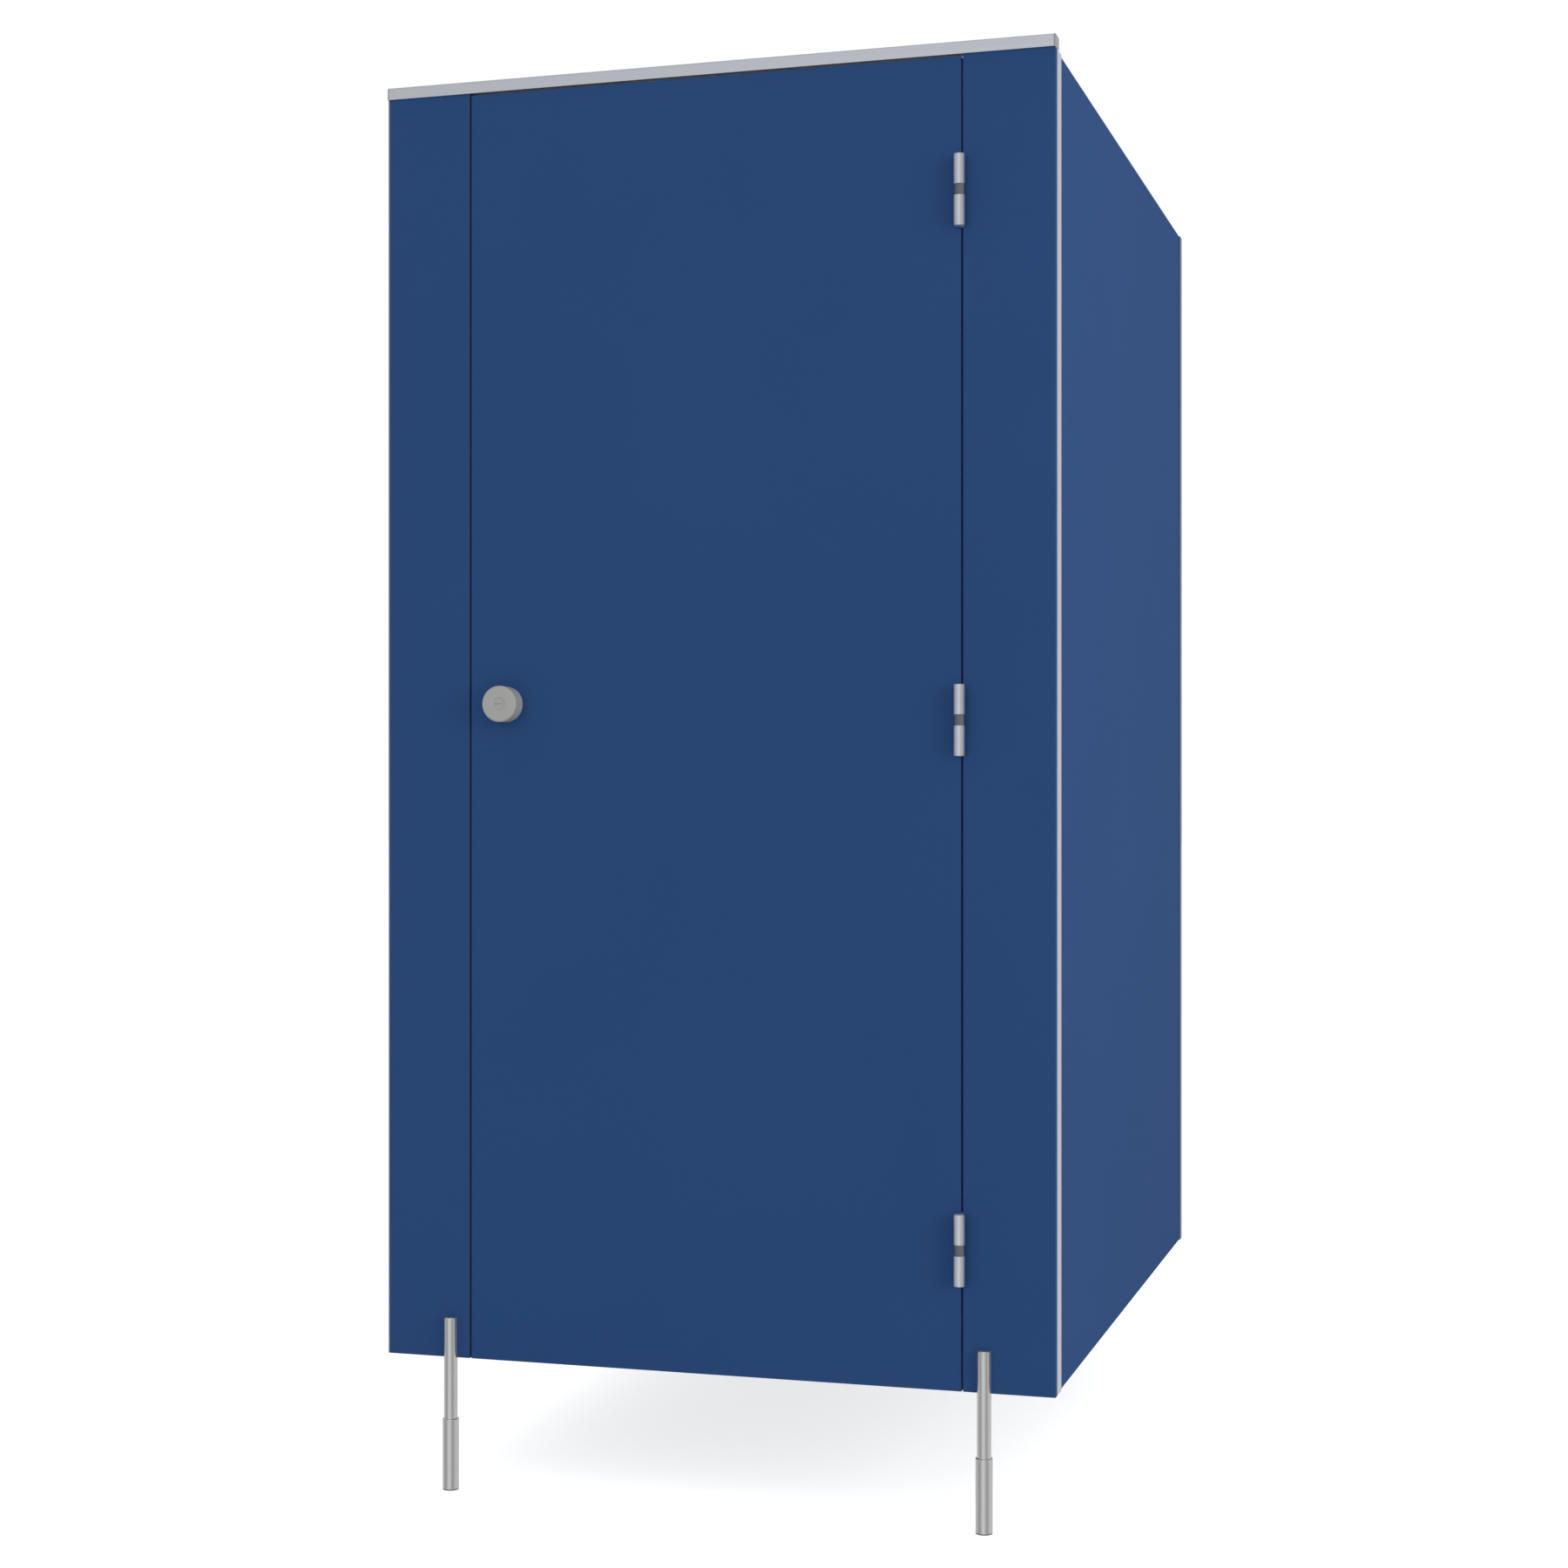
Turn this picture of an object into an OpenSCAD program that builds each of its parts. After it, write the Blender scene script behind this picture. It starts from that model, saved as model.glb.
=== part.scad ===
// Changing cubicle for a wet changing room.
// Two pilasters and a door make the front, two partitions run back to the wall,
// a headrail ties the front together and two adjustable legs carry it.
// Millimetres. +Z is up, the front looks along -Y, and the origin lies on the
// floor in the middle of the footprint. Hinges are on the right, the lock on the left.

/* [Cubicle] */
// Overall width of the front
cubicle_w = 1000; // [900:10:1200]
// Depth from the front faces of the panels to the wall
cubicle_d = 1300; // [1000:10:1800]
// Height of the panels, from their lower edge to the headrail
panel_h = 1857; // [1700:1:2100]
// Clear height under the panels
floor_gap = 194; // [180:1:240]
// Thickness of the solid-grade laminate panels
panel_t = 13; // [12:0.5:16]
// Bevel along the upright edges of the panels
edge_bevel = 0.5; // [0.3:0.1:1.5]

/* [Front] */
// Width of each pilaster
pilaster_w = 130; // [120:1:170]
// Gap on either side of the door
door_gap = 2.6; // [2.6:0.1:5]
// Gap between the top of the door and the headrail
door_top_gap = 3; // [2:0.5:10]
// Thickness of the strip that closes the outer edge of the left pilaster
trim_t = 2; // [1:0.5:3]

/* [Headrail] */
// Height of the headrail
rail_h = 18; // [16:0.5:26]
// Depth of the headrail, front to back
rail_d = 30; // [28:0.5:40]
// How far the headrail stands in front of the panels
rail_front = 3; // [2.5:0.1:5]
// Wall of the headrail section
rail_wall = 2; // [1.5:0.1:2.5]
// Radius of the two upper corners of the headrail
rail_round = 4; // [2:0.5:5]
// Thickness of the headrail end caps
cap_t = 2; // [1.5:0.5:4]
// Length of the peg that holds an end cap in the headrail
cap_peg_l = 12; // [8:1:18]

/* [Channels] */
// Wall of the aluminium channels
channel_wall = 2; // [1.5:0.1:3]
// Depth of the channel behind each pilaster
front_channel_d = 32; // [28:1:45]
// Depth of the channel on the wall
wall_channel_d = 24; // [22:1:40]
// Room between a channel's web and the edge of the partition in it
edge_space = 5; // [4:0.5:6]
// Diameter of the holes for the wall fixings
wall_hole_d = 5.5; // [4.5:0.5:7]

/* [Hinges] */
// Centre of the lowest hinge above the lower edge of the door
hinge_low = 198; // [150:1:300]
// Centre of the highest hinge below the headrail
hinge_high = 191; // [150:1:300]
// Diameter of the hinge barrels
knuckle_d = 16; // [13:0.5:18]
// Length of each knuckle
knuckle_l = 42.5; // [36:0.5:60]
// Diameter of the bush between two knuckles
bush_d = 13.4; // [12:0.2:14]
// Length of the bush between two knuckles
bush_l = 15; // [8:0.5:20]
// Gap between a barrel and the front faces
barrel_stand = 3; // [2:0.1:5]
// Diameter of the hinge pins
pin_d = 8; // [6:0.5:9]
// Thickness of the hinge plates
leaf_t = 1; // [0.8:0.05:1]
// Width of the hinge plates behind the panels
leaf_w = 34; // [30:1:45]
// Distance between the screws of a hinge plate
leaf_screw_pitch = 35; // [28:1:38]

/* [Lock] */
// Lock axis from the left edge of the door
lock_edge = 55; // [50:1:80]
// Lock axis above the lower edge of the door
lock_up = 960; // [850:1:1100]
// Diameter of the pull knob on the outside
pull_d = 53; // [48:1:60]
// Diameter of the pull knob where it meets the door
pull_base_d = 52; // [46:1:54]
// Height of the pull knob off the door
pull_depth = 28.6; // [18:0.2:32]
// Radius of the front edge of the pull knob
pull_round = 3; // [1:0.5:6]
// Diameter of the coin release in the middle of the pull knob
release_d = 17.4; // [15:0.2:22]
// Thickness of the coin release
release_t = 4; // [3:0.2:6]
// Width of the coin slot
coin_slot_w = 1.6; // [1.2:0.1:2.4]
// Length of the coin slot
coin_slot_l = 11; // [8:0.5:13]
// Diameter of the plate on the inside
backplate_d = 56; // [50:1:64]
// Thickness of the inside plate, and of the keep that the latch passes
backplate_t = 6; // [5.5:0.5:8]
// Diameter of the lock spindle
spindle_d = 8; // [7:0.5:10]
// Size across the flats of the square ends of the spindle
square_w = 5.6; // [4.4:0.1:6]
// Width of the latch arm
latch_w = 16; // [12:1:20]
// Thickness of the latch arm
latch_t = 4; // [3:0.5:6]
// How far the latch arm reaches over the pilaster when it is thrown
latch_over = 20; // [14:1:26]
// Diameter of the foot of the thumbturn
turn_d = 26; // [22:1:30]
// Length of the grip of the thumbturn
turn_l = 44; // [36:1:54]
// Thickness of the grip of the thumbturn
turn_t = 10; // [7:0.5:13]
// Height of the thumbturn off the latch arm
turn_h = 20; // [16:0.5:26]
// Distance of the lock screws from the lock axis
lock_screw_off = 18; // [16:0.5:20]

/* [Keep] */
// Width of the keep on the pilaster
keep_w = 42; // [36:1:52]
// Height of the keep
keep_h = 60; // [54:1:80]
// How far the keep reaches behind the edge of the door
keep_nose = 10; // [8:0.5:14]
// Thickness of the rubber buffer behind the door
buffer_t = 3; // [2:0.25:3.5]
// Thickness of the ledge that the thrown latch rests on
ledge_t = 4; // [3:0.5:6]

/* [Legs] */
// Leg axis from the outer edge of the front
leg_inset = 100; // [70:1:104]
// Diameter of the leg bar
leg_d = 20; // [18:0.5:24]
// How far the halved end of the bar covers the pilaster
leg_cover = 59; // [50:1:90]
// Wall of the sleeve that slides on the bar
sleeve_wall = 2; // [1.5:0.1:3]
// Top of the sleeve above the floor
sleeve_top = 104.5; // [95:0.5:120]
// Lower end of the bar above the floor
bar_end = 30; // [29:1:40]
// Height of the foot plug inside the sleeve
plug_h = 12; // [8:0.5:12.5]
// Thickness of the foot plug's rim on the floor
rim_t = 1.5; // [1:0.25:2]
// Diameter of the hole for the floor fixing
floor_hole_d = 6.5; // [5:0.5:8]

/* [Bench] */
// Top of the bench above the floor
bench_top = 450; // [400:5:520]
// Depth of the bench board
bench_d = 350; // [280:5:420]
// Leg width of the aluminium angles under the bench
angle_w = 40; // [32:1:50]
// Thickness of the aluminium angles
angle_t = 3; // [2.5:0.5:4]
// Distance of the front angle behind the bench's front edge
angle_back = 20; // [15:1:40]

/* [Coat hook] */
// Middle of the hook plate above the lower edge of the door
hook_up = 1450; // [1200:10:1600]
// Diameter of the hook's rod
hook_rod_d = 8; // [6:0.5:10]
// Width of the hook plate
hook_plate_w = 28; // [24:1:40]
// Height of the hook plate
hook_plate_h = 70; // [64:1:90]
// Thickness of the hook plate
hook_plate_t = 3; // [2:0.5:4]
// Straight length of the rod off the plate
hook_out = 26; // [20:1:40]
// Bend radius of the rod
hook_bend = 14; // [10:1:18]
// Diameter of the ball on the end of the hook
hook_ball_d = 14; // [11:1:18]

/* [Screws] */
// Diameter of the panel screws
screw_d = 4.2; // [3.5:0.1:4.8]
// How far a panel screw bites into a panel
screw_bite = 9; // [6:0.5:10]
// Diameter of a panel screw's head
head_d = 8.4; // [7:0.2:10]
// Height of a panel screw's head
head_h = 2.6; // [2:0.1:2.8]
// Diameter of the bolts through the pilasters into the legs
bolt_d = 6; // [5:0.5:7]
// Diameter of the screws through the lock
lock_screw_d = 4; // [3:0.5:4.5]

/* [Hidden] */
$fn = 64;

panel_blue = "#2B4671";
anodised = "#B0B4BC";
stainless = "#A8A8A4";
nylon_grey = "#5C6068";
knob_grey = "#9B9B99";
rubber_black = "#26282B";

// Clearances
run_play = 0.05;      // shaft in a bearing, on the radius
press_play = 0.02;    // pin in its fixed knuckle, on the radius
slot_play = 0.2;      // panel in a channel or in the headrail, each side
face_play = 0.3;      // faces that pass each other
hole_play = 0.2;      // screw through a plate, on the radius
thread_play = 0.05;   // screw in its tapped hole, on the radius
cut = 1;              // how far a cutter runs past a face

half_w = cubicle_w / 2;
panel_z0 = floor_gap;
panel_z1 = floor_gap + panel_h;
front_y = -(cubicle_d - pull_depth) / 2;

door_w = cubicle_w - 2 * pilaster_w - 2 * door_gap;
door_h = panel_h - door_top_gap;
pilaster_x = door_w / 2 + door_gap;

rail_slot_d = rail_h - rail_wall;
rail_slot_y = rail_front - slot_play;
rail_slot_w = panel_t + 2 * slot_play;
chamber_y = rail_slot_y + rail_slot_w + rail_wall;
chamber_w = rail_d - rail_wall - chamber_y;
rail_screw_edge = 30;
rail_screw_x = [half_w - pilaster_w + rail_screw_edge, half_w - rail_screw_edge];
rail_screw_z = panel_z1 + rail_slot_d / 2;

channel_w = panel_t + 2 * slot_play + 2 * channel_wall;
partition_x = half_w - channel_wall - slot_play - panel_t;
partition_y0 = panel_t + channel_wall + edge_space;
partition_y1 = cubicle_d - channel_wall - edge_space;
front_screw_y = (partition_y0 + panel_t + front_channel_d) / 2;
wall_screw_y = (partition_y1 + cubicle_d - wall_channel_d) / 2;

function spaced(first, last, count) =
    [for (i = [0 : count - 1]) first + i * (last - first) / (count - 1)];
upright_screws = 4;
web_screw_end = 80;
leg_screw_end = 120;
web_screw_z = spaced(panel_z0 + web_screw_end, panel_z1 - web_screw_end, upright_screws);
leg_screw_z = spaced(panel_z0 + leg_screw_end, panel_z1 - leg_screw_end, upright_screws);
web_screw_x = half_w - channel_w / 2;

barrel_l = 2 * knuckle_l + bush_l;
hinge_x = door_w / 2;
hinge_y = -barrel_stand - knuckle_d / 2;
hinge_bottom_z = panel_z0 + hinge_low;
hinge_top_z = panel_z1 - hinge_high;
hinge_middle_z = (hinge_bottom_z + hinge_top_z) / 2;
hinge_zs = [hinge_bottom_z, hinge_middle_z, hinge_top_z];
knuckle_roof = 3;
knuckle_bevel = 0.8;
knuckle_chamfer = 0.3;
pin_gap = 1;
leaf_round = 6;
leaf_screw_in = 11;
leaf_screw_off = leaf_w - leaf_screw_in;

lock_x = -door_w / 2 + lock_edge;
lock_z = panel_z0 + lock_up;
release_sink = 0.6;
release_bevel = 0.8;
release_pocket = release_sink + release_t + face_play;
coin_slot_depth = 1.5;
release_back_y = -pull_depth + release_sink + release_t;
release_socket = 2.2;
lock_screw_in_pull = 10;
lock_head_d = 7.4;
lock_head_h = 2.4;
spindle_hole_d = spindle_d + 6;
latch_y = panel_t + backplate_t + face_play;
latch_l = lock_edge + door_gap + latch_over;
turn_y = latch_y + latch_t;
turn_foot_t = 6;
turn_socket = 12;
grub_d = 3;
grub_tip = square_w / 2 + 0.4;

keep_x = -pilaster_x;
keep_step = 1;
nose_y = panel_t + face_play + buffer_t;
nose_end = door_gap + keep_nose;
keep_screw_up = 20;
keep_screw_off = keep_w / 2;
ledge_z = lock_z - latch_w / 2 - face_play - ledge_t;
ledge_reach = latch_t + 1.5;
ledge_end = 3;

leg_x = half_w - leg_inset;
leg_bolt_edge = 16;
leg_bolt_z = [panel_z0 + leg_bolt_edge, panel_z0 + leg_cover - leg_bolt_edge];
leg_bolt_in = 7;
sleeve_bore_d = leg_d + 2 * run_play;
sleeve_d = sleeve_bore_d + 2 * sleeve_wall;
bar_bevel = 0.8;
sleeve_bevel = 0.6;
foot_step = 0.3;
leg_grub_d = 5;
leg_grub_down = 12;
leg_grub_out = 1.2;
floor_sink_d = floor_hole_d + 5;
floor_sink_h = 3;

bench_x = partition_x - face_play;
bench_y1 = cubicle_d - wall_channel_d - 2;
bench_y0 = bench_y1 - bench_d;
bench_under = bench_top - panel_t;
bench_nose_r = 4;
angle_end = 15;
angle_apart = 6;
angle_screw_end = 50;
angle_y0 = bench_y0 + angle_end;
angle_y1 = bench_y1 - angle_end;
side_angle_screw_y = spaced(angle_y0 + angle_screw_end, angle_y1 - angle_screw_end, 3);
front_angle_x = partition_x - angle_w - angle_apart;
front_angle_screw_x = spaced(-front_angle_x + angle_screw_end, front_angle_x - angle_screw_end, 4);
side_angle_screw_x = partition_x - (angle_w + angle_t) / 2;
front_angle_screw_y = bench_y0 + angle_back + (angle_w + angle_t) / 2;
angle_screw_z = bench_under - (angle_w + angle_t) / 2;

hook_z = panel_z0 + hook_up;
hook_screw_off = hook_plate_h / 2 - 9;
hook_tip = 12;
hook_rod_z = -8;

// Places a piece: x from the middle, y from the front faces of the panels, z from the floor
module at(x, y, z) translate([x, front_y + y, z]) children();

// Turns the local +Z to point to the back, the front, the right, the left or down
module to_back() rotate([-90, 0, 0]) children();
module to_front() rotate([90, 0, 0]) children();
module to_right() rotate([0, 90, 0]) children();
module to_left() rotate([0, -90, 0]) children();
module to_floor() rotate([180, 0, 0]) children();

// An outline in x and z becomes a plate from y = 0 to y = t
module plate(t) rotate([90, 0, 0]) translate([0, 0, -t]) linear_extrude(t) children();

// An outline in y and z becomes a bar from x = 0 to x = len
module bar(len) rotate([90, 0, 90]) linear_extrude(len) children();

module mirrored() mirror([1, 0, 0]) children();

// Upright board with bevelled edges: w along x, t along y, h along z
module board(w, h) {
    b = edge_bevel;
    t = panel_t;
    linear_extrude(h)
        polygon([[b, 0], [w - b, 0], [w, b], [w, t - b], [w - b, t], [b, t], [0, t - b], [0, b]]);
}

// Screw with a domed head above z = 0 and its shank below
module dome_screw(d, shank, top_d, top_h) {
    dome_r = (pow(top_d / 2, 2) + pow(top_h, 2)) / (2 * top_h);
    key_w = d * 0.6;
    difference() {
        union() {
            translate([0, 0, -shank]) cylinder(d = d, h = shank);
            rotate_extrude() intersection() {
                translate([0, top_h - dome_r]) circle(dome_r);
                square([top_d, top_h]);
            }
        }
        translate([0, 0, top_h * 0.4]) cylinder(d = key_w, h = top_h, $fn = 6);
    }
}

// Panel screw whose head lies on a plate that is grip thick
module panel_screw(grip) dome_screw(screw_d, grip + screw_bite, head_d, head_h);

// Tapped hole for a panel screw, from the face at z = 0 downwards
module screw_hole() {
    translate([0, 0, -screw_bite - face_play])
        cylinder(d = screw_d + 2 * thread_play, h = screw_bite + face_play + cut);
}

// Clearance hole for a screw of diameter d through a plate, from z = -depth to 0
module through_hole(d, depth) {
    translate([0, 0, -depth - cut]) cylinder(d = d + 2 * hole_play, h = depth + 2 * cut);
}

// Front panels

// Right-hand pilaster from the door gap to outer_x, with its end held in the headrail
module pilaster_body(outer_x) {
    difference() {
        at(pilaster_x, 0, panel_z0) board(outer_x - pilaster_x, panel_h + rail_slot_d - face_play);
        at(half_w - cap_t - face_play, -cut, panel_z1)
            cube([cap_t + 2 * face_play, panel_t + 2 * cut, rail_slot_d + cut]);
        for (x = rail_screw_x) at(x, panel_t, rail_screw_z) to_back() screw_hole();
        for (z = web_screw_z) at(web_screw_x, panel_t, z) to_back() screw_hole();
        for (z = leg_bolt_z) at(leg_x, panel_t, z) to_back() through_hole(bolt_d, panel_t);
    }
}

module left_pilaster() color(panel_blue) difference() {
    mirrored() pilaster_body(half_w - trim_t);
    keep_screw_places() screw_hole();
}

module right_pilaster() color(panel_blue) difference() {
    pilaster_body(half_w);
    for (z = hinge_zs) frame_leaf_screws(z) screw_hole();
}

// Flat strip over the cut edge, as tall as the panel shows
module left_edge_trim() color(anodised)
    at(-half_w, 0, panel_z0) cube([trim_t, panel_t, panel_h]);

module door_leaf() color(panel_blue) difference() {
    at(-door_w / 2, 0, panel_z0) board(door_w, door_h);
    at(lock_x, -cut, lock_z) to_back() cylinder(d = spindle_hole_d, h = panel_t + 2 * cut);
    lock_screw_places(panel_t) through_hole(lock_screw_d, panel_t);
    for (z = hinge_zs) door_leaf_screws(z) screw_hole();
    hook_screw_places(panel_t) screw_hole();
}

// Headrail

// Outside of the section: x is the depth from its front, y the height
module rail_outline() {
    side = rail_h - rail_round;
    square([rail_d, side]);
    translate([rail_round, 0]) square([rail_d - 2 * rail_round, rail_h]);
    for (x = [rail_round, rail_d - rail_round]) translate([x, side]) circle(rail_round);
}

module chamber_outline(play) {
    translate([chamber_y + play, rail_wall + play])
        square([chamber_w - 2 * play, rail_h - 2 * rail_wall - 2 * play]);
}

module headrail() color(anodised) difference() {
    at(-half_w + cap_t, -rail_front, panel_z1) bar(cubicle_w - 2 * cap_t) difference() {
        rail_outline();
        translate([rail_slot_y, -cut]) square([rail_slot_w, rail_slot_d + cut]);
        chamber_outline(0);
    }
    rail_screw_places() through_hole(screw_d, rail_d - chamber_y + rail_wall);
}

module right_rail_cap() color(nylon_grey) {
    at(half_w - cap_t, -rail_front, panel_z1) bar(cap_t) rail_outline();
    at(half_w - cap_t - cap_peg_l, -rail_front, panel_z1) bar(cap_peg_l) chamber_outline(slot_play);
}

module left_rail_cap() mirrored() right_rail_cap();

module rail_screw_places() {
    for (side = [-1, 1], x = rail_screw_x)
        at(side * x, rail_d - rail_front, rail_screw_z) to_back() children();
}

module rail_screws() color(stainless) rail_screw_places()
    panel_screw(rail_d - rail_front - panel_t);

// Partitions and their channels

// Section seen from above: outer face at x = 0, web at y = 0, open towards +y
module channel_section(depth) difference() {
    translate([-channel_w, 0]) square([channel_w, depth]);
    translate([-channel_w + channel_wall, channel_wall])
        square([channel_w - 2 * channel_wall, depth]);
}

module right_front_channel() color(anodised) difference() {
    at(half_w, panel_t, panel_z0) linear_extrude(panel_h) channel_section(front_channel_d);
    for (z = web_screw_z)
        at(web_screw_x, panel_t + channel_wall, z) to_back() through_hole(screw_d, channel_wall);
    leg_screw_places(front_screw_y) through_hole(screw_d, channel_wall);
}

module left_front_channel() mirrored() right_front_channel();

module right_wall_channel() color(anodised) difference() {
    at(half_w, cubicle_d, panel_z0) mirror([0, 1, 0])
        linear_extrude(panel_h) channel_section(wall_channel_d);
    for (z = web_screw_z)
        at(web_screw_x, cubicle_d - channel_wall - cut, z) to_back()
            cylinder(d = wall_hole_d, h = channel_wall + 2 * cut);
    leg_screw_places(wall_screw_y) through_hole(screw_d, channel_wall);
}

module left_wall_channel() mirrored() right_wall_channel();

// Screws through the web of a front channel into the back of the pilaster
module front_channel_screws() color(stainless) for (s = [0, 1]) mirror([s, 0, 0])
    for (z = web_screw_z)
        at(web_screw_x, panel_t + channel_wall, z) to_back() panel_screw(channel_wall);

// Places on the inner leg of the right-hand channels, facing the cubicle
module leg_screw_places(y) {
    for (z = leg_screw_z) at(half_w - channel_w, y, z) to_left() children();
}

module partition_screws() color(stainless) for (s = [0, 1]) mirror([s, 0, 0])
    for (y = [front_screw_y, wall_screw_y])
        leg_screw_places(y) panel_screw(channel_wall + slot_play);

module right_partition() color(panel_blue) difference() {
    at(partition_x + panel_t, partition_y0, panel_z0) rotate([0, 0, 90])
        board(partition_y1 - partition_y0, panel_h);
    for (y = [front_screw_y, wall_screw_y], z = leg_screw_z)
        at(partition_x, y, z) to_left() screw_hole();
    for (y = side_angle_screw_y) at(partition_x, y, angle_screw_z) to_left() screw_hole();
}

module left_partition() mirrored() right_partition();

// Hinges: the lower knuckle belongs to the frame, the upper one to the door

// Turned cylinder of diameter d from z = 0 to h, with bevels of low and high at its ends
module turned(d, h, low, high) rotate_extrude() polygon([
    [0, 0], [d / 2 - low, 0], [d / 2, low], [d / 2, h - high], [d / 2 - high, h], [0, h],
]);

// Hinge plate in x and z with its two far corners rounded
module leaf_outline() {
    r = leaf_round;
    translate([0, -barrel_l / 2]) square([leaf_w - r, barrel_l]);
    translate([0, -barrel_l / 2 + r]) square([leaf_w, barrel_l - 2 * r]);
    for (side = [-1, 1]) translate([leaf_w - r, side * (barrel_l / 2 - r)]) circle(r);
}

module frame_leaf_screws(z) {
    for (step = [-1, 0, 1])
        at(pilaster_x - leaf_t + leaf_screw_off, panel_t, z + step * leaf_screw_pitch)
            to_back() children();
}

module door_leaf_screws(z) {
    for (step = [-1, 0, 1])
        at(hinge_x + leaf_t - leaf_screw_off, panel_t, z + step * leaf_screw_pitch)
            to_back() children();
}

// The plate between the knuckle and the back of the panels lies in the door gap
module hinge_frame_half(z) color(stainless) difference() {
    z0 = z - barrel_l / 2;
    union() {
        at(hinge_x, hinge_y, z0) turned(knuckle_d, knuckle_l, knuckle_bevel, knuckle_chamfer);
        at(pilaster_x - leaf_t, hinge_y, z0)
            cube([leaf_t, panel_t + leaf_t - hinge_y, knuckle_l]);
        at(pilaster_x - leaf_t, panel_t, z) plate(leaf_t) leaf_outline();
    }
    at(hinge_x, hinge_y, z0 - cut)
        cylinder(d = pin_d + 2 * press_play, h = knuckle_l + 2 * cut);
    frame_leaf_screws(z) translate([0, 0, leaf_t]) through_hole(screw_d, leaf_t);
}

module hinge_door_half(z) color(stainless) difference() {
    z0 = z + bush_l / 2 + slot_play;
    z1 = z + barrel_l / 2;
    union() {
        at(hinge_x, hinge_y, z0) turned(knuckle_d, z1 - z0, knuckle_chamfer, knuckle_bevel);
        at(hinge_x, hinge_y, z0) cube([leaf_t, panel_t + leaf_t - hinge_y, z1 - z0]);
        at(hinge_x + leaf_t, panel_t, z) mirrored() plate(leaf_t) leaf_outline();
    }
    at(hinge_x, hinge_y, z0 - cut)
        cylinder(d = pin_d + 2 * run_play, h = z1 - z0 - knuckle_roof + cut);
    door_leaf_screws(z) translate([0, 0, leaf_t]) through_hole(screw_d, leaf_t);
}

module hinge_bush(z) color(nylon_grey) at(hinge_x, hinge_y, z - bush_l / 2) difference() {
    cylinder(d = bush_d, h = bush_l);
    translate([0, 0, -cut]) cylinder(d = pin_d + 2 * run_play, h = bush_l + 2 * cut);
}

module hinge_pin(z) color(stainless) at(hinge_x, hinge_y, z - barrel_l / 2)
    cylinder(d = pin_d, h = barrel_l - knuckle_roof - pin_gap);

module top_hinge_frame_half() hinge_frame_half(hinge_top_z);
module top_hinge_door_half() hinge_door_half(hinge_top_z);
module top_hinge_bush() hinge_bush(hinge_top_z);
module top_hinge_pin() hinge_pin(hinge_top_z);
module middle_hinge_frame_half() hinge_frame_half(hinge_middle_z);
module middle_hinge_door_half() hinge_door_half(hinge_middle_z);
module middle_hinge_bush() hinge_bush(hinge_middle_z);
module middle_hinge_pin() hinge_pin(hinge_middle_z);
module bottom_hinge_frame_half() hinge_frame_half(hinge_bottom_z);
module bottom_hinge_door_half() hinge_door_half(hinge_bottom_z);
module bottom_hinge_bush() hinge_bush(hinge_bottom_z);
module bottom_hinge_pin() hinge_pin(hinge_bottom_z);

module hinge_frame_screws() color(stainless) for (z = hinge_zs)
    frame_leaf_screws(z) translate([0, 0, leaf_t]) panel_screw(leaf_t);

module hinge_door_screws() color(stainless) for (z = hinge_zs)
    door_leaf_screws(z) translate([0, 0, leaf_t]) panel_screw(leaf_t);

// Lock: pull knob and backplate are bolted together through the door

module lock_screw_places(y) {
    for (side = [-1, 1])
        at(lock_x + side * lock_screw_off, y, lock_z) to_back() children();
}

// Half section of the knob: x is the radius, y the height off the door
module pull_profile() {
    polygon([
        [0, 0],
        [pull_base_d / 2, 0],
        [pull_d / 2, pull_depth - pull_round],
        [pull_d / 2 - pull_round, pull_depth],
        [0, pull_depth],
    ]);
    translate([pull_d / 2 - pull_round, pull_depth - pull_round]) circle(pull_round);
}

module lock_pull() color(knob_grey) difference() {
    at(lock_x, 0, lock_z) to_front() rotate_extrude() pull_profile();
    at(lock_x, -pull_depth - cut, lock_z) to_back()
        cylinder(d = release_d + 2 * run_play, h = release_pocket + cut);
    at(lock_x, -pull_depth, lock_z) to_back()
        cylinder(d1 = release_d + 2 * (run_play + release_bevel), d2 = release_d + 2 * run_play,
                 h = release_bevel);
    at(lock_x, -pull_depth, lock_z) to_back()
        cylinder(d = spindle_d + 2 * run_play, h = pull_depth + cut);
    lock_screw_places(cut) translate([0, 0, -lock_screw_in_pull - cut - face_play])
        cylinder(d = lock_screw_d + 2 * thread_play, h = lock_screw_in_pull + cut + face_play);
}

module lock_backplate() color(stainless) difference() {
    at(lock_x, panel_t, lock_z) to_back() {
        cylinder(d = backplate_d, h = backplate_t - edge_bevel);
        translate([0, 0, backplate_t - edge_bevel])
            cylinder(d1 = backplate_d, d2 = backplate_d - 2 * edge_bevel, h = edge_bevel);
    }
    at(lock_x, panel_t - cut, lock_z) to_back()
        cylinder(d = spindle_d + 2 * run_play, h = backplate_t + 2 * cut);
    lock_screw_places(panel_t + backplate_t) {
        through_hole(lock_screw_d, backplate_t);
        translate([0, 0, -lock_head_h - hole_play])
            cylinder(d = lock_head_d + 2 * hole_play, h = lock_head_h + hole_play + cut);
    }
}

// The heads sit below the face that the latch arm sweeps over
module lock_screws() color(stainless)
    lock_screw_places(panel_t + backplate_t - lock_head_h - hole_play)
        dome_screw(lock_screw_d,
                   panel_t + backplate_t - lock_head_h - hole_play + lock_screw_in_pull,
                   lock_head_d, lock_head_h);

// Square bar of the spindle ends, w across, centred on the axis
module square_bar(w, len) translate([-w / 2, -w / 2, 0]) cube([w, w, len]);

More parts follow.
